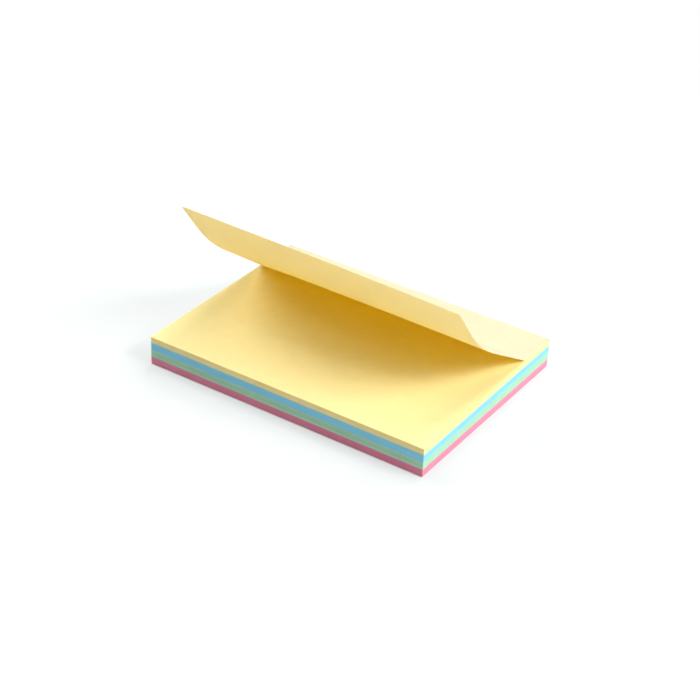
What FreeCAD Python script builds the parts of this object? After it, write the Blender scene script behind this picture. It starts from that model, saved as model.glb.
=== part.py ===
import FreeCAD, Part
import math
import os
import Sketcher

# A sticky note pad: four blocks of coloured paper sheets on a backing sheet,
# each held to the next by a strip of low-tack adhesive along the bound edge,
# with the top sheet lifted and curling away from the pad.
# Millimetres. X runs along the long edge, the bound edge is at +Y, and the
# origin is the middle of the face that the pad rests on.

SIZES = [
    ("sheet_length", 102),
    ("sheet_width", 76),
    ("paper_thickness", 0.1),
    # One sheet in the pad with its share of trapped air and adhesive.
    ("sheet_pitch", 0.104),
    ("pink_count", 25),
    ("green_count", 25),
    ("blue_count", 25),
    ("yellow_count", 20),
    ("backing_thickness", 0.1),
    # Adhesive strip along the bound edge of every note.
    ("strip_width", 14),
    ("strip_thickness", 0.015),
    # The lifted sheet: a flat run on the pad, a tight bend, a straight slope,
    # a wide bend, and a straight run up to the free edge. It has been peeled a
    # little further at its left end, so the two ends differ.
    ("flat_run_right", 14.5),
    ("flat_run_left", 16),
    ("tight_radius", 5),
    ("tight_angle_right", 32),
    ("tight_angle_left", 36),
    ("slope_run", 23.5),
    ("wide_radius", 62),
    ("wide_angle_right", 21),
    ("wide_angle_left", 18),
]

doc = FreeCAD.newDocument("sticky_note_pad")
sheet = doc.addObject("Spreadsheet::Sheet", "Sizes")
for row, (alias, value) in enumerate(SIZES, start=1):
    sheet.set(f"A{row}", alias)
    sheet.set(f"B{row}", str(value))
    sheet.setAlias(f"B{row}", alias)
doc.recompute()


def size(alias):
    """The number that the sheet holds under an alias."""
    return float(getattr(sheet, alias))


def new_body(label):
    body = doc.addObject("PartDesign::Body", label)
    body.Label = label
    return body


def sketch_on(body, role, name):
    """A sketch on one of the body's own origin planes."""
    plane = next(f for f in body.Origin.OriginFeatures if f.Role == role)
    sketch = body.newObject("Sketcher::SketchObject", name)
    sketch.AttachmentSupport = (plane, "")
    sketch.MapMode = "FlatFace"
    return sketch


def add_dimension(sketch, name, constraint, expression):
    """A named constraint whose value follows an expression."""
    index = sketch.addConstraint(constraint)
    sketch.renameConstraint(index, name)
    sketch.setExpression(f"Constraints.{name}", expression)


def flat_layer(label, depth, thickness, level):
    """A layer as long as the pad that runs forward from the bound edge.

    depth is the alias of how far it runs, thickness and level are expressions.
    """
    body = new_body(label)
    sketch = sketch_on(body, "XY_Plane", label + "_outline")
    half = size("sheet_length") / 2
    back = size("sheet_width") / 2
    front = back - size(depth)
    corners = [
        FreeCAD.Vector(-half, front, 0),
        FreeCAD.Vector(half, front, 0),
        FreeCAD.Vector(half, back, 0),
        FreeCAD.Vector(-half, back, 0),
    ]
    for start, end in zip(corners, corners[1:] + corners[:1]):
        sketch.addGeometry(Part.LineSegment(start, end))
    front_edge, right_edge, back_edge, left_edge = range(4)
    for edge in range(4):
        sketch.addConstraint(Sketcher.Constraint("Coincident", edge, 2, (edge + 1) % 4, 1))
    sketch.addConstraint(Sketcher.Constraint("Horizontal", front_edge))
    sketch.addConstraint(Sketcher.Constraint("Vertical", right_edge))
    sketch.addConstraint(Sketcher.Constraint("Vertical", left_edge))
    # The back edge's ends mirror each other about the sketch's vertical axis.
    sketch.addConstraint(Sketcher.Constraint("Symmetric", back_edge, 1, back_edge, 2, -2))
    add_dimension(
        sketch, "length", Sketcher.Constraint("Distance", front_edge, 2 * half), "Sizes.sheet_length"
    )
    add_dimension(
        sketch, "depth", Sketcher.Constraint("Distance", right_edge, back - front), f"Sizes.{depth}"
    )
    add_dimension(
        sketch, "bound_edge", Sketcher.Constraint("DistanceY", -1, 1, back_edge, 1, back),
        "Sizes.sheet_width / 2",
    )
    pad = body.newObject("PartDesign::Pad", label + "_pad")
    pad.Profile = sketch
    pad.setExpression("Length", thickness)
    body.setExpression("Placement.Base.z", level)
    return body


def curl_section(body, side, end):
    """The lifted sheet's thin section at its right (end 1) or left (end -1) edge."""
    paper = size("paper_thickness")
    back = size("sheet_width") / 2
    flat = size(f"flat_run_{side}")
    tight = size("tight_radius")
    wide = size("wide_radius")
    bend = math.radians(size(f"tight_angle_{side}"))
    slope = size("slope_run")
    more = math.radians(size(f"wide_angle_{side}"))
    free = size("sheet_width") - flat - tight * bend - slope - wide * more

    def along(angle):
        return FreeCAD.Vector(-math.cos(angle), math.sin(angle), 0)

    def upper_side(angle):
        return FreeCAD.Vector(math.sin(angle), math.cos(angle), 0)

    # Corners of the underside, from the bound edge to the free edge.
    steep = bend + more
    bound = FreeCAD.Vector(back, 0, 0)
    lift = bound + along(0) * flat
    tight_centre = lift + upper_side(0) * tight
    slope_start = tight_centre - upper_side(bend) * tight
    slope_end = slope_start + along(bend) * slope
    wide_centre = slope_end + upper_side(bend) * wide
    rise = wide_centre - upper_side(steep) * wide
    tip = rise + along(steep) * free
    # The same corners on the upper side, one paper thickness away.
    directions = [0, 0, bend, bend, steep, steep]
    under = [bound, lift, slope_start, slope_end, rise, tip]
    over = [point + upper_side(angle) * paper for point, angle in zip(under, directions)]

    def arc(centre, radius, start_turn, end_turn):
        circle = Part.Circle(centre, FreeCAD.Vector(0, 0, 1), radius)
        down = 1.5 * math.pi
        return Part.ArcOfCircle(circle, down - end_turn, down - start_turn)

    sketch = sketch_on(body, "YZ_Plane", f"{side}_section")
    sketch.setExpression("AttachmentOffset.Base.z", f"{end} * Sizes.sheet_length / 2")
    sketch.addGeometry([
        Part.LineSegment(under[0], under[1]),
        arc(tight_centre, tight, 0, bend),
        Part.LineSegment(under[2], under[3]),
        arc(wide_centre, wide, bend, steep),
        Part.LineSegment(under[4], under[5]),
        Part.LineSegment(under[5], over[5]),
        Part.LineSegment(over[5], over[4]),
        arc(wide_centre, wide - paper, bend, steep),
        Part.LineSegment(over[3], over[2]),
        arc(tight_centre, tight - paper, 0, bend),
        Part.LineSegment(over[1], over[0]),
        Part.LineSegment(over[0], under[0]),
    ])
    (flat_under, tight_under, slope_under, wide_under, free_under, free_edge,
     free_over, wide_over, slope_over, tight_over, flat_over, bound_edge) = range(12)
    start, finish, centre = 1, 2, 3
    tangents = [
        (flat_under, finish, tight_under, finish),
        (tight_under, start, slope_under, start),
        (slope_under, finish, wide_under, finish),
        (wide_under, start, free_under, start),
        (free_over, finish, wide_over, start),
        (wide_over, finish, slope_over, start),
        (slope_over, finish, tight_over, start),
        (tight_over, finish, flat_over, start),
    ]
    joins = [
        (free_under, finish, free_edge, start),
        (free_edge, finish, free_over, start),
        (flat_over, finish, bound_edge, start),
        (bound_edge, finish, flat_under, start),
        (tight_under, centre, tight_over, centre),
        (wide_under, centre, wide_over, centre),
    ]
    for pair in tangents:
        sketch.addConstraint(Sketcher.Constraint("Tangent", *pair))
    for pair in joins:
        sketch.addConstraint(Sketcher.Constraint("Coincident", *pair))
    sketch.addConstraint(Sketcher.Constraint("Horizontal", flat_under))
    sketch.addConstraint(Sketcher.Constraint("Horizontal", flat_over))
    sketch.addConstraint(Sketcher.Constraint("Vertical", bound_edge))
    sketch.addConstraint(Sketcher.Constraint("Perpendicular", free_under, free_edge))
    sketch.addConstraint(Sketcher.Constraint("Parallel", free_under, free_over))
    sketch.addConstraint(Sketcher.Constraint("Parallel", slope_under, slope_over))
    sketch.addConstraint(Sketcher.Constraint("PointOnObject", flat_under, start, -1))
    add_dimension(
        sketch, "bound_edge", Sketcher.Constraint("DistanceX", -1, 1, flat_under, start, back),
        "Sizes.sheet_width / 2",
    )
    add_dimension(
        sketch, "paper", Sketcher.Constraint("Distance", bound_edge, paper), "Sizes.paper_thickness"
    )
    add_dimension(
        sketch, "flat_run", Sketcher.Constraint("Distance", flat_under, flat),
        f"Sizes.flat_run_{side}",
    )
    add_dimension(
        sketch, "tight_radius", Sketcher.Constraint("Radius", tight_under, tight),
        "Sizes.tight_radius",
    )
    add_dimension(
        sketch, "tight_angle", Sketcher.Constraint("Angle", tight_under, bend),
        f"Sizes.tight_angle_{side} * 1 deg",
    )
    add_dimension(
        sketch, "slope_run", Sketcher.Constraint("Distance", slope_under, slope), "Sizes.slope_run"
    )
    add_dimension(
        sketch, "wide_radius", Sketcher.Constraint("Radius", wide_under, wide), "Sizes.wide_radius"
    )
    add_dimension(
        sketch, "wide_angle", Sketcher.Constraint("Angle", wide_under, more),
        f"Sizes.wide_angle_{side} * 1 deg",
    )
    # Whatever the bends take up, the sheet is as wide as the others, so the
    # straight run to the free edge is what is left of that width.
    add_dimension(
        sketch, "free_run", Sketcher.Constraint("Distance", free_under, free),
        f"Sizes.sheet_width - Sizes.flat_run_{side} - Sizes.slope_run"
        f" - Sizes.tight_radius * Sizes.tight_angle_{side} * pi / 180"
        f" - Sizes.wide_radius * Sizes.wide_angle_{side} * pi / 180",
    )
    return sketch


def lifted_sheet(label, level):
    """The top sheet, a ruled skin between its right and left sections."""
    body = new_body(label)
    right = curl_section(body, "right", 1)
    left = curl_section(body, "left", -1)
    loft = body.newObject("PartDesign::AdditiveLoft", label + "_loft")
    loft.Profile = right
    loft.Sections = [left]
    loft.Ruled = True
    body.setExpression("Placement.Base.z", level)
    return body


# The stack, from the backing sheet up: a strip of adhesive lies on what is
# below it, and a block of sheets lies on the strip.
level = "Sizes.backing_thickness"
parts = [flat_layer("backing_sheet", "sheet_width", "Sizes.backing_thickness", "0")]
for colour in ("pink", "green", "blue", "yellow"):
    parts.append(
        flat_layer(f"adhesive_under_{colour}", "strip_width", "Sizes.strip_thickness", level)
    )
    level += " + Sizes.strip_thickness"
    block = f"Sizes.{colour}_count * Sizes.sheet_pitch"
    parts.append(flat_layer(f"{colour}_sheets", "sheet_width", block, level))
    level += " + " + block
parts.append(
    flat_layer("adhesive_under_top_sheet", "strip_width", "Sizes.strip_thickness", level)
)
level += " + Sizes.strip_thickness"
parts.append(lifted_sheet("top_sheet", level))

doc.recompute()

failed = [o.Name for o in doc.Objects if {"Invalid", "Error"} & set(o.State)]
if failed:
    raise RuntimeError("these objects did not build: " + ", ".join(failed))
for part in parts:
    if part.Shape.isNull() or not part.Shape.isValid() or len(part.Shape.Solids) != 1:
        raise RuntimeError(part.Label + " is not one valid solid")

os.makedirs("parts", exist_ok=True)
for part in parts:
    part.Shape.exportStep(f"parts/{part.Label}.step")
    box = part.Shape.BoundBox
    print(
        f"{part.Label}: {part.Shape.Volume:.1f} mm3,"
        f" y {box.YMin:.2f} to {box.YMax:.2f}, z {box.ZMin:.3f} to {box.ZMax:.3f}"
    )
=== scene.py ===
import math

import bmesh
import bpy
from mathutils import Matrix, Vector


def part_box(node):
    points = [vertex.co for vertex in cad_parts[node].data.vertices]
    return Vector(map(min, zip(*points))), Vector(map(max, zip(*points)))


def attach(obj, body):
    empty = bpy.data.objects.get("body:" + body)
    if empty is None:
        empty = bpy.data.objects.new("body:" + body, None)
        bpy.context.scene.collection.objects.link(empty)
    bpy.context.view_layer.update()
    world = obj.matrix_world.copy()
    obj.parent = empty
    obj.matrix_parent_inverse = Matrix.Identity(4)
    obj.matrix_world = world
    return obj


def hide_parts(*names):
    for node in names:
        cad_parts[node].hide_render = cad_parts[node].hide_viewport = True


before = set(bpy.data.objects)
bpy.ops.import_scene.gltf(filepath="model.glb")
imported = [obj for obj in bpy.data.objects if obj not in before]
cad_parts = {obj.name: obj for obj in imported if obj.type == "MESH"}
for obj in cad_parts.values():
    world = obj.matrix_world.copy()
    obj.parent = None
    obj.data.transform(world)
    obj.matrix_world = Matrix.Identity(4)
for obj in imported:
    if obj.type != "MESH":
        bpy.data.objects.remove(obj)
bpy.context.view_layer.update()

# %% [markdown]
# A pad of sticky notes is a very plain thing: a stack of dyed paper sheets, cut square, and one
# sheet that has been lifted. It looks real only when the paper does. So this lesson spends its
# effort on three things: the edges of nearly a hundred separate sheets, the curl of the lifted
# one, and the way that light falls on, through and between sheets of coloured paper.
#
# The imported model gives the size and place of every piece. Blender works in metres, and so does
# the frame, so the sizes are read straight from its boxes.

MM = 0.001
low, high = (Vector(corner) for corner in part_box("yellow_sheets"))
pad_length = high.x - low.x
pad_width = high.y - low.y
pad_top = high.z
print(f"pad {pad_length / MM:.1f} x {pad_width / MM:.1f} mm, {pad_top / MM:.2f} mm high")

# %% [markdown]
# The camera comes first, because every later choice is judged through it. The photograph was
# taken from a little over half a metre with a long lens: the pad's long edges run almost
# parallel. A camera is easiest to reason about as a point that it looks at, a direction and a
# distance, and so is a lamp, so both share one function for the direction. `to_track_quat` turns
# the line of sight into a rotation, and a small roll is added about that line, because the
# photograph's horizon isn't quite level.

# %% Camera
SENSOR = 36.0  # mm, the width that Blender's lens length refers to
LENS = 91.9
AIM = Vector((3.5, -6.1, 10.0)) * MM
CAMERA_AZIMUTH = 32.67  # degrees, from the pad's front towards its right
CAMERA_ELEVATION = 32.10
CAMERA_DISTANCE = 562.9 * MM
CAMERA_ROLL = math.radians(2.53)


def direction(azimuth, elevation):
    """The way out from the pad at two angles in degrees. Azimuth 0 is its front, 90 its right."""
    a, e = math.radians(azimuth), math.radians(elevation)
    return Vector((math.sin(a) * math.cos(e), -math.cos(a) * math.cos(e), math.sin(e)))


outward = direction(CAMERA_AZIMUTH, CAMERA_ELEVATION)
camera = bpy.data.objects.new("camera", bpy.data.cameras.new("camera"))
bpy.context.scene.collection.objects.link(camera)
camera.data.sensor_width = SENSOR
camera.data.lens = LENS
camera.rotation_mode = "QUATERNION"
camera.rotation_quaternion = (
    outward.to_track_quat("Z", "Y") @ Matrix.Rotation(CAMERA_ROLL, 3, "Z").to_quaternion()
)
camera.location = AIM + outward * CAMERA_DISTANCE
bpy.context.scene.camera = camera
print("camera at", [round(c / MM) for c in camera.location], "mm")

# %% [markdown]
# Every material and every node tree below is built in code. Two small helpers keep that readable:
# one turns a colour as a painter would write it, in sRGB hex, into the linear light that shaders
# work in, and one adds a node with its settings and links in a single line.

# %% Helpers for colours and nodes
def linear(hex_colour):
    """An sRGB hex colour as linear red, green, blue and alpha."""
    values = [int(hex_colour[i:i + 2], 16) / 255 for i in (1, 3, 5)]
    return [v / 12.92 if v <= 0.04045 else ((v + 0.055) / 1.055) ** 2.4 for v in values] + [1.0]


def add_node(tree, kind, settings=None, **inputs):
    """Adds a node. An input given as a socket is linked, and any other value is set."""
    node = tree.nodes.new(kind)
    for name, value in (settings or {}).items():
        setattr(node, name, value)
    for name, value in inputs.items():
        key = int(name[1:]) if name[0] == "_" and name[1:].isdigit() else name.replace("_", " ")
        if isinstance(value, bpy.types.NodeSocket):
            tree.links.new(value, node.inputs[key])
        else:
            node.inputs[key].default_value = value
    return node


print("a mid grey, #808080, is", round(linear("#808080")[0], 3), "in linear light")

# %% [markdown]
# Note paper is uncoated woodfree paper of about 75 g per square metre, dyed in the pulp, so its
# colour goes right through and shows on the cut edges too. Up close, its fibres clump as the
# sheet forms, which makes faint clouds a few millimetres across. Its surface is matt, with
# single fibres lying in it and a fuzz of fibre ends that catches light at a low angle. Sheen
# draws the fuzz, and a bump map draws the fibres.
#
# One function makes all the paper. The clouds are 4 mm noise, a percent or two strong. A fibre
# is about 1 mm long and 0.03 mm wide, too fine to show here, so the fibres are drawn about ten
# times as wide. Each sheet's tone differs by a few percent, which stripes a stack's cut edge.
#
# The lifted sheet is the same paper with nothing behind it. In a block, light that gets through
# a sheet is dyed again by those below, which deepens the colour. Here it comes out at the other
# side, so the sheet is paler where it faces a lamp and glows where it doesn't. A Translucent
# shader, mixed in by half, does that. Its own colour is also set paler and greener than the pad's:
# partly the real paling of a single sheet, and partly a painted highlight that stands in for the
# bright light on its lit side.

# %% Uncoated dyed paper
CLOUD_SIZE = 4 * MM
FIBRE_SIZE = 0.35 * MM
FIBRE_DEPTH = 0.01 * MM
NOISE_RANGE = {"From_Min": 0.3, "From_Max": 0.7}  # where nearly all values of a noise lie


def dyed_paper(name, colour, sheet_tone=0.06, see_through=0.0, glow=None):
    """Paper dyed in the pulp. see_through is the share of light that goes through, dyed as glow."""
    material = bpy.data.materials.new(name)
    material.use_nodes = True
    tree = material.node_tree
    tree.nodes.clear()
    where = add_node(tree, "ShaderNodeTexCoord").outputs["Object"]
    clouds = add_node(
        tree, "ShaderNodeTexNoise", Vector=where, Scale=1 / CLOUD_SIZE, Detail=3.0, Roughness=0.6
    )
    fibres = add_node(
        tree, "ShaderNodeTexNoise", Vector=where, Scale=1 / FIBRE_SIZE, Detail=4.0, Roughness=0.65
    )
    tone = add_node(tree, "ShaderNodeAttribute", {"attribute_name": "sheet_tone"})
    cloud_value = add_node(
        tree, "ShaderNodeMapRange", Value=clouds.outputs["Fac"], To_Min=0.975, To_Max=1.015,
        **NOISE_RANGE,
    )
    tone_value = add_node(
        tree, "ShaderNodeMapRange", Value=tone.outputs["Fac"], To_Min=1 - sheet_tone, To_Max=1.0
    )
    value = add_node(
        tree, "ShaderNodeMath", {"operation": "MULTIPLY"}, _0=cloud_value.outputs["Result"],
        _1=tone_value.outputs["Result"],
    )
    dyed = add_node(
        tree, "ShaderNodeHueSaturation", Color=linear(colour), Value=value.outputs["Value"]
    )
    bump = add_node(
        tree, "ShaderNodeBump", Height=fibres.outputs["Fac"], Distance=FIBRE_DEPTH, Strength=0.6
    )
    surface = add_node(
        tree, "ShaderNodeBsdfPrincipled", Base_Color=dyed.outputs["Color"], Roughness=0.9,
        IOR=1.5, Specular_IOR_Level=0.2, Sheen_Weight=0.25, Sheen_Roughness=0.5,
        Normal=bump.outputs["Normal"],
    )
    shown = surface.outputs["BSDF"]
    if see_through:
        through = add_node(
            tree, "ShaderNodeBsdfTranslucent", Color=linear(glow), Normal=bump.outputs["Normal"]
        )
        shown = add_node(
            tree, "ShaderNodeMixShader", Fac=see_through, _1=shown, _2=through.outputs["BSDF"]
        ).outputs["Shader"]
    add_node(tree, "ShaderNodeOutputMaterial", Surface=shown)
    return material


papers = {
    "yellow": dyed_paper("pastel yellow note paper", "#FBECA8"),
    "blue": dyed_paper("pastel blue note paper", "#92DEF8"),
    "green": dyed_paper("pastel green note paper", "#B4E1C2"),
    "pink": dyed_paper("pastel pink note paper", "#F398B4"),
}
# Paler and greener than the pad's yellow: partly a single sheet's real paling, partly painted
# highlight.
lifted_paper = dyed_paper(
    "pastel yellow note paper with light behind it", "#E5FAE4", see_through=0.5, glow="#FFDC40"
)
print("papers:", ", ".join(papers))

# %% [markdown]
# A block of notes is one sheet, repeated. That is what Geometry Nodes are best at: a line of
# points, one for each sheet, with a thin slab placed on every point. The guillotine that cut the
# pad left it square, but handling shifts each sheet by a few hundredths of a millimetre, so the
# points are nudged by a random amount with a fixed seed. The slab is 0.1 mm thick and the points
# are a shade further apart, which leaves the hairline between sheets that a cut edge shows.
#
# The instances are made real at the end of the tree, because an exported model can't hold them,
# and each sheet first gets a random number of its own, which the paper reads as its tone.

# %% A Geometry Nodes tree for a block of sheets
def input_socket(tree, name, kind):
    tree.interface.new_socket(name, in_out="INPUT", socket_type="NodeSocket" + kind)


def block_tree():
    tree = bpy.data.node_groups.new("block of sheets", "GeometryNodeTree")
    input_socket(tree, "Size", "Vector")
    input_socket(tree, "Sheets", "Int")
    input_socket(tree, "Pitch", "Float")
    input_socket(tree, "Lowest", "Float")
    input_socket(tree, "Stray", "Float")
    input_socket(tree, "Skew", "Float")
    input_socket(tree, "Seed", "Int")
    input_socket(tree, "Paper", "Material")
    tree.interface.new_socket("Geometry", in_out="OUTPUT", socket_type="NodeSocketGeometry")
    given = add_node(tree, "NodeGroupInput").outputs

    def scatter(least, most, amount):
        spread = add_node(
            tree, "FunctionNodeRandomValue", {"data_type": "FLOAT_VECTOR"}, _0=least, _1=most,
            Seed=given["Seed"],
        ).outputs["Value"]
        return add_node(
            tree, "ShaderNodeVectorMath", {"operation": "SCALE"}, _0=spread, Scale=amount
        ).outputs["Vector"]

    sheet = add_node(tree, "GeometryNodeMeshCube", Size=given["Size"]).outputs["Mesh"]
    start = add_node(tree, "ShaderNodeCombineXYZ", Z=given["Lowest"]).outputs["Vector"]
    step = add_node(tree, "ShaderNodeCombineXYZ", Z=given["Pitch"]).outputs["Vector"]
    line = add_node(
        tree, "GeometryNodeMeshLine", Count=given["Sheets"], Start_Location=start, Offset=step
    ).outputs["Mesh"]
    nudge = scatter((-1, -1, 0), (1, 1, 0), given["Stray"])
    points = add_node(
        tree, "GeometryNodeSetPosition", Geometry=line, Offset=nudge
    ).outputs["Geometry"]
    turn = scatter((0, 0, -1), (0, 0, 1), given["Skew"])
    rotation = add_node(tree, "FunctionNodeEulerToRotation", Euler=turn).outputs["Rotation"]
    sheets = add_node(
        tree, "GeometryNodeInstanceOnPoints", Points=points, Instance=sheet, Rotation=rotation
    ).outputs["Instances"]
    tone = add_node(
        tree, "FunctionNodeRandomValue", {"data_type": "FLOAT"}, Seed=given["Seed"]
    ).outputs[1]
    toned = add_node(
        tree, "GeometryNodeStoreNamedAttribute", {"data_type": "FLOAT", "domain": "INSTANCE"},
        Geometry=sheets, Name="sheet_tone", Value=tone,
    ).outputs["Geometry"]
    real = add_node(tree, "GeometryNodeRealizeInstances", Geometry=toned).outputs["Geometry"]
    papered = add_node(
        tree, "GeometryNodeSetMaterial", Geometry=real, Material=given["Paper"]
    ).outputs["Geometry"]
    add_node(tree, "NodeGroupOutput", Geometry=papered)
    return tree


BLOCK = block_tree()
print("the tree has", len(BLOCK.nodes), "nodes")

# %% [markdown]
# A tree does nothing by itself. It runs as a modifier on an object, whose inputs are set by each
# socket's identifier, and its result is then read back as a plain mesh. The modifier goes away
# with the object that carried it, so what is left behaves like any modelled piece.

# %% Running a tree and keeping its result
def grow(name, tree, slot, **inputs):
    """The tree's result as a plain object that rides on the pad."""
    holder = bpy.data.objects.new(name + "_holder", bpy.data.meshes.new(name + "_holder"))
    bpy.context.scene.collection.objects.link(holder)
    modifier = holder.modifiers.new(name, "NODES")
    modifier.node_group = tree
    for item in tree.interface.items_tree:
        if item.in_out == "INPUT":
            modifier[item.identifier] = inputs[item.name.replace(" ", "_")]
    evaluated = holder.evaluated_get(bpy.context.evaluated_depsgraph_get())
    mesh = bpy.data.meshes.new_from_object(evaluated)
    mesh.name = name
    bpy.data.objects.remove(holder)
    piece = bpy.data.objects.new(name, mesh)
    bpy.context.scene.collection.objects.link(piece)
    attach(piece, "root")
    return piece


sockets = [item for item in BLOCK.interface.items_tree if item.in_out == "INPUT"]
print("the modifier's inputs:", {item.name: item.identifier for item in sockets})

# %% The four blocks
PAPER_THICKNESS = 0.1 * MM
SHEET_PITCH = 0.104 * MM
STRAY = 0.05 * MM
SKEW = math.radians(0.03)

for seed, (colour, paper) in enumerate(papers.items(), start=1):
    node = f"{colour}_sheets"
    below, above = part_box(node)
    count = round((above[2] - below[2]) / SHEET_PITCH)
    block = grow(
        f"{colour}_note_stack", BLOCK, f"{colour}_paper",
        Size=(pad_length, pad_width, PAPER_THICKNESS), Sheets=count, Pitch=SHEET_PITCH,
        Lowest=below[2] + PAPER_THICKNESS / 2, Stray=STRAY, Skew=SKEW, Seed=seed, Paper=paper,
    )
    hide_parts(node)
    print(f"{colour}: {count} sheets, {len(block.data.polygons)} faces")

# %% [markdown]
# The lifted sheet is the piece that the eye goes to, and its shape follows a rule. Paper doesn't
# stretch, so a point that lies a distance s from the bound edge along the flat sheet still lies
# that far along the curled one. The section is a flat run where the adhesive holds it, a tight
# bend where it comes off the pad, a straight slope, a wide bend and a straight run to the edge.
#
# The tree starts from a flat slab and moves every point to where its distance along the paper
# takes it. The arithmetic is the same as walking the section: add up each run and each arc, as
# far as this point gets into it. The left end was peeled a little further than the right, so
# the runs and bends are mixed between two sets of values along the sheet.

# %% A Geometry Nodes tree for the lifted sheet
POINTS_ACROSS = 52  # one for every 2 mm of the sheet's length
POINTS_ALONG = 153  # one for every half millimetre along the curl


def curl_tree():
    tree = bpy.data.node_groups.new("curled sheet", "GeometryNodeTree")
    input_socket(tree, "Size", "Vector")
    for name in ("Back", "Underside", "Flat Left", "Flat Right", "Tight Radius", "Tight Left",
                 "Tight Right", "Slope", "Wide Radius", "Wide Left", "Wide Right", "Crown"):
        input_socket(tree, name, "Float")
    input_socket(tree, "Paper", "Material")
    tree.interface.new_socket("Geometry", in_out="OUTPUT", socket_type="NodeSocketGeometry")
    given = add_node(tree, "NodeGroupInput").outputs

    def calc(operation, *values):
        sockets = {f"_{i}": value for i, value in enumerate(values)}
        return add_node(tree, "ShaderNodeMath", {"operation": operation}, **sockets).outputs[0]

    def total(*values):
        result = values[0]
        for value in values[1:]:
            result = calc("ADD", result, value)
        return result

    def within(value, limit):
        return calc("MINIMUM", calc("MAXIMUM", value, 0.0), limit)

    def blend(left, right):
        return add_node(
            tree, "ShaderNodeMix", {"data_type": "FLOAT"}, Factor=across, A=left, B=right
        ).outputs["Result"]

    slab = add_node(
        tree, "GeometryNodeMeshCube", Size=given["Size"], Vertices_X=POINTS_ACROSS,
        Vertices_Y=POINTS_ALONG,
    ).outputs["Mesh"]
    place = add_node(
        tree, "ShaderNodeSeparateXYZ", Vector=add_node(tree, "GeometryNodeInputPosition").outputs[0]
    ).outputs
    size = add_node(tree, "ShaderNodeSeparateXYZ", Vector=given["Size"]).outputs
    across = calc("ADD", calc("DIVIDE", place["X"], size["X"]), 0.5)
    distance = calc("SUBTRACT", calc("MULTIPLY", size["Y"], 0.5), place["Y"])
    height_in_sheet = calc("ADD", place["Z"], calc("MULTIPLY", size["Z"], 0.5))

    flat = blend(given["Flat Left"], given["Flat Right"])
    first = blend(given["Tight Left"], given["Tight Right"])
    second = blend(given["Wide Left"], given["Wide Right"])
    tight, wide, slope = given["Tight Radius"], given["Wide Radius"], given["Slope"]
    steep = calc("ADD", first, second)

    past_flat = calc("SUBTRACT", distance, flat)
    past_tight = calc("SUBTRACT", past_flat, calc("MULTIPLY", tight, first))
    past_slope = calc("SUBTRACT", past_tight, slope)
    past_wide = calc("SUBTRACT", past_slope, calc("MULTIPLY", wide, second))
    turned = within(calc("DIVIDE", past_flat, tight), first)
    turned_more = within(calc("DIVIDE", past_slope, wide), second)
    up_slope = within(past_tight, slope)
    up_free = calc("MAXIMUM", past_wide, 0.0)
    angle = calc("ADD", turned, turned_more)
    second_angle = calc("ADD", first, turned_more)

    wide_forward = calc("SUBTRACT", calc("SINE", second_angle), calc("SINE", first))
    wide_lift = calc("SUBTRACT", calc("COSINE", first), calc("COSINE", second_angle))
    forward = total(
        calc("MINIMUM", distance, flat),
        calc("MULTIPLY", tight, calc("SINE", turned)),
        calc("MULTIPLY", up_slope, calc("COSINE", first)),
        calc("MULTIPLY", wide, wide_forward),
        calc("MULTIPLY", up_free, calc("COSINE", steep)),
    )
    lift = total(
        calc("MULTIPLY", tight, calc("SUBTRACT", 1.0, calc("COSINE", turned))),
        calc("MULTIPLY", up_slope, calc("SINE", first)),
        calc("MULTIPLY", wide, wide_lift),
        calc("MULTIPLY", up_free, calc("SINE", steep)),
    )
    # The free edge bows a little, highest at mid-length.
    from_middle = calc("MULTIPLY", calc("SUBTRACT", across, 0.5), 2.0)
    bow = calc("SUBTRACT", 1.0, calc("POWER", calc("ABSOLUTE", from_middle), 2.0))
    reach = calc("POWER", calc("DIVIDE", distance, size["Y"]), 2.0)
    crown = calc("MULTIPLY", calc("MULTIPLY", given["Crown"], bow), reach)

    y = total(
        calc("SUBTRACT", given["Back"], forward),
        calc("MULTIPLY", height_in_sheet, calc("SINE", angle)),
    )
    z = total(
        given["Underside"], lift, calc("MULTIPLY", height_in_sheet, calc("COSINE", angle)), crown
    )
    moved = add_node(tree, "ShaderNodeCombineXYZ", X=place["X"], Y=y, Z=z).outputs["Vector"]
    curled = add_node(
        tree, "GeometryNodeSetPosition", Geometry=slab, Position=moved
    ).outputs["Geometry"]
    real = add_node(tree, "GeometryNodeRealizeInstances", Geometry=curled).outputs["Geometry"]
    papered = add_node(
        tree, "GeometryNodeSetMaterial", Geometry=real, Material=given["Paper"]
    ).outputs["Geometry"]
    add_node(tree, "NodeGroupOutput", Geometry=papered)
    return tree


CURL = curl_tree()
print("the tree has", len(CURL.nodes), "nodes")

# %% The lifted sheet
SHARP_ANGLE = math.radians(30)  # edges that turn more than this stay crisp, as cut paper's do

sheet_low, sheet_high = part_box("top_sheet")
lifted_sheet = grow(
    "lifted_note", CURL, "lifted_paper",
    Size=(pad_length, pad_width, PAPER_THICKNESS), Back=high.y, Underside=sheet_low[2],
    Flat_Left=16 * MM, Flat_Right=14.5 * MM, Tight_Radius=5 * MM, Tight_Left=math.radians(36),
    Tight_Right=math.radians(32), Slope=23.5 * MM, Wide_Radius=62 * MM,
    Wide_Left=math.radians(18), Wide_Right=math.radians(21), Crown=0.25 * MM,
    Paper=lifted_paper,
)
lifted_sheet.data.shade_smooth()
lifted_sheet.data.set_sharp_from_angle(angle=SHARP_ANGLE)
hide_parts("top_sheet")
highest = max(v.co.z for v in lifted_sheet.data.vertices)
print(f"the lifted sheet reaches {highest / MM:.2f} mm, the packed one {sheet_high[2] / MM:.2f} mm")

# %% [markdown]
# What is hidden still gets its real finish. The adhesive is a clear acrylic that dries to soft
# beads about 0.05 mm across, which is why a note peels off so easily, and it has a faint gloss.
# The backing sheet is off-white release paper, coated smooth, so it is a little shinier than the
# notes. Both were laid on wet, so both are uneven: a slow noise varies their tone by a few
# percent, and a Voronoi texture raises the beads.

# %% Adhesive and backing
BEAD_SIZE = 0.05 * MM


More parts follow.
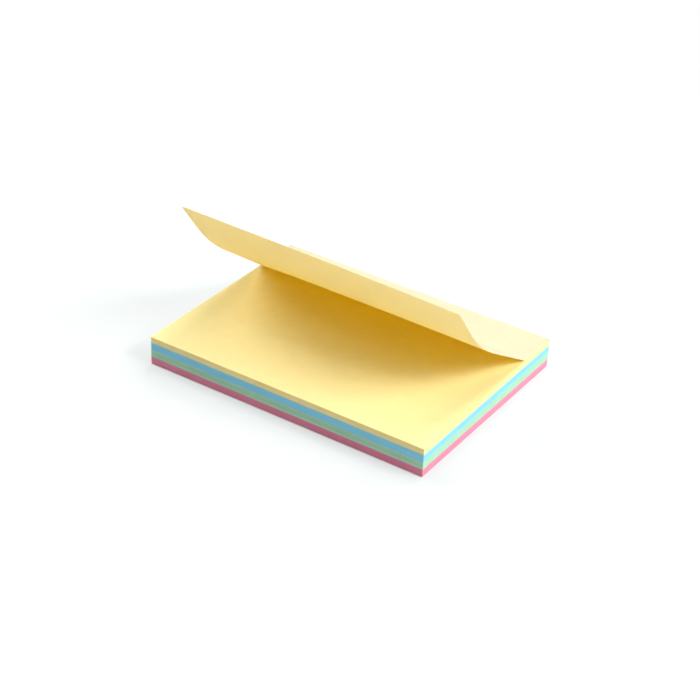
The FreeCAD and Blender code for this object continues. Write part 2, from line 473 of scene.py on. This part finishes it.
def coated(name, colour, roughness, grain):
    """A surface with a coating that dried on it, its beads as wide as grain."""
    material = bpy.data.materials.new(name)
    material.use_nodes = True
    tree = material.node_tree
    tree.nodes.clear()
    where = add_node(tree, "ShaderNodeTexCoord").outputs["Object"]
    beads = add_node(tree, "ShaderNodeTexVoronoi", Vector=where, Scale=1 / grain)
    bump = add_node(
        tree, "ShaderNodeBump", Height=beads.outputs["Distance"], Distance=grain / 10, Strength=0.5
    )
    patches = add_node(tree, "ShaderNodeTexNoise", Vector=where, Scale=1 / CLOUD_SIZE, Detail=3.0)
    value = add_node(
        tree, "ShaderNodeMapRange", Value=patches.outputs["Fac"], To_Min=0.96, To_Max=1.02,
        **NOISE_RANGE,
    )
    tone = add_node(
        tree, "ShaderNodeHueSaturation", Color=linear(colour), Value=value.outputs["Result"]
    )
    surface = add_node(
        tree, "ShaderNodeBsdfPrincipled", Base_Color=tone.outputs["Color"], Roughness=roughness,
        IOR=1.47, Normal=bump.outputs["Normal"],
    )
    add_node(tree, "ShaderNodeOutputMaterial", Surface=surface.outputs["BSDF"])
    return material


def finish_node(name, material):
    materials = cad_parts[name].data.materials
    materials.clear()
    materials.append(material)


adhesive = coated("dried low-tack acrylic adhesive", "#E9E4CF", 0.45, BEAD_SIZE)
release_paper = coated("off-white release paper", "#F1EFE8", 0.5, 2 * BEAD_SIZE)
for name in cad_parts:
    if name.startswith("adhesive"):
        finish_node(name, adhesive)
finish_node("backing_sheet", release_paper)
print("finished", sum(name.startswith("adhesive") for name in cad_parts), "adhesive strips")

# %% [markdown]
# The shadows in the photograph are soft and its brightest places are nearly white, so the pad
# stood among large softboxes. An area lamp is Blender's softbox: its size sets how soft a shadow
# is, and its power how bright the light. Four of them, all 1.2 m away, give the same pattern of
# light. The strongest stands at the right. One high behind the pad shines through the lifted
# sheet, which makes the underside glow and turns its shadow on the pad golden. One at the left
# lights the far end, and a weak one in front keeps the cut edges from going dull.
#
# Their powers were measured, not guessed. Light adds up, so a picture can be rendered for each
# lamp alone, and the mix of those that comes nearest to the photograph is a least squares sum.
# Together they light the pad so that its colours render about as they are written.

# %% Four softboxes
LIGHT_DISTANCE = 1.2


def add_softbox(name, azimuth, elevation, width, height, power):
    """A softbox that faces the pad from LIGHT_DISTANCE away."""
    data = bpy.data.lights.new(name, "AREA")
    data.shape = "RECTANGLE"
    data.size = width
    data.size_y = height
    data.energy = power
    light = bpy.data.objects.new(name, data)
    bpy.context.scene.collection.objects.link(light)
    away = direction(azimuth, elevation)
    light.location = away * LIGHT_DISTANCE
    light.rotation_mode = "QUATERNION"
    light.rotation_quaternion = away.to_track_quat("Z", "Y")
    print(f"{name}: {power} W at", [round(c, 2) for c in light.location])


add_softbox("right_key", 97, 40, 0.7, 0.4, 14.2)
add_softbox("back_light", 180, 60, 0.6, 0.5, 10.0)
add_softbox("left_fill", 270, 39, 0.5, 0.7, 9.3)
add_softbox("front_fill", 0, 65, 0.5, 0.5, 2.6)

# %% [markdown]
# The floor has two jobs that pull apart. It bounces light up at the cut edges, as white card
# does, and it must look pure white behind the pad and still keep the pad's shadow. A Light Path
# node tells the two jobs apart. Rays that light the pad meet plain pale card. Rays that show the
# floor, straight to the camera or by way of a reflection or clear glass, meet a darker card with
# a glow added, so that the open floor just reaches white and only the shadow falls below it.
# Light that is scattered by going through paper counts as a transmission ray too, and it lights
# things, so it is taken out again.
#
# Away from the pad the card fades to plain white, and the world beyond it is white to the same
# rays. To all others the world is dark, so the four softboxes do the lighting alone.

# %% Floor and world
FLOOR_SIZE = 4.0
FLOOR_GAP = 0.05 * MM  # two faces in one plane flicker, so the floor lies a hair below the pad
CARD_RADIUS = 0.15
CARD_GLOW = 0.44


def backdrop_rays(tree):
    """1 for a ray that shows the backdrop, and 0 for a ray that lights something."""
    path = add_node(tree, "ShaderNodeLightPath").outputs
    through_clear = add_node(
        tree, "ShaderNodeMath", {"operation": "SUBTRACT", "use_clamp": True},
        _0=path["Is Transmission Ray"], _1=path["Is Diffuse Ray"],
    ).outputs[0]
    not_straight = add_node(
        tree, "ShaderNodeMath", {"operation": "MAXIMUM"}, _0=path["Is Glossy Ray"], _1=through_clear
    ).outputs[0]
    return add_node(
        tree, "ShaderNodeMath", {"operation": "MAXIMUM"}, _0=path["Is Camera Ray"], _1=not_straight
    ).outputs[0]


floor_mesh = bpy.data.meshes.new("floor")
shape = bmesh.new()
bmesh.ops.create_grid(
    shape, x_segments=1, y_segments=1, size=FLOOR_SIZE / 2,
    matrix=Matrix.Translation((0, 0, -FLOOR_GAP)),
)
shape.to_mesh(floor_mesh)
shape.free()
floor = bpy.data.objects.new("floor", floor_mesh)
bpy.context.scene.collection.objects.link(floor)

card = bpy.data.materials.new("white studio card")
card.use_nodes = True
tree = card.node_tree
tree.nodes.clear()
place = add_node(tree, "ShaderNodeNewGeometry").outputs["Position"]
reach = add_node(tree, "ShaderNodeVectorMath", {"operation": "LENGTH"}, _0=place).outputs["Value"]
far_off = add_node(
    tree, "ShaderNodeMapRange", {"interpolation_type": "SMOOTHSTEP"}, Value=reach,
    From_Min=CARD_RADIUS, From_Max=2 * CARD_RADIUS,
).outputs["Result"]
plain = add_node(tree, "ShaderNodeBsdfDiffuse", Color=linear("#DDDDDD")).outputs[0]
darker = add_node(tree, "ShaderNodeBsdfDiffuse", Color=linear("#A3A8A8")).outputs[0]
glow = add_node(
    tree, "ShaderNodeEmission", Color=linear("#FFFFFF"), Strength=CARD_GLOW
).outputs[0]
near = add_node(tree, "ShaderNodeAddShader", _0=darker, _1=glow).outputs[0]
far = add_node(tree, "ShaderNodeEmission", Color=linear("#FFFFFF"), Strength=1.0).outputs[0]
shown = add_node(tree, "ShaderNodeMixShader", Fac=far_off, _1=near, _2=far).outputs[0]
either = add_node(
    tree, "ShaderNodeMixShader", Fac=backdrop_rays(tree), _1=plain, _2=shown
).outputs[0]
add_node(tree, "ShaderNodeOutputMaterial", Surface=either)
floor.data.materials.append(card)

world = bpy.data.worlds.new("studio")
bpy.context.scene.world = world
world.use_nodes = True
tree = world.node_tree
tree.nodes.clear()
white = add_node(
    tree, "ShaderNodeBackground", Color=linear("#FFFFFF"), Strength=backdrop_rays(tree)
)
add_node(tree, "ShaderNodeOutputWorld", Surface=white.outputs[0])
print("floor", FLOOR_SIZE, "m wide, with its shadow kept within", CARD_RADIUS, "m of the pad")

# %% [markdown]
# The Standard view shows colours as they are written, with no film curve over them, which is
# what a product on white needs.

# %% View
bpy.context.scene.view_settings.view_transform = "Standard"
print("view transform:", bpy.context.scene.view_settings.view_transform)
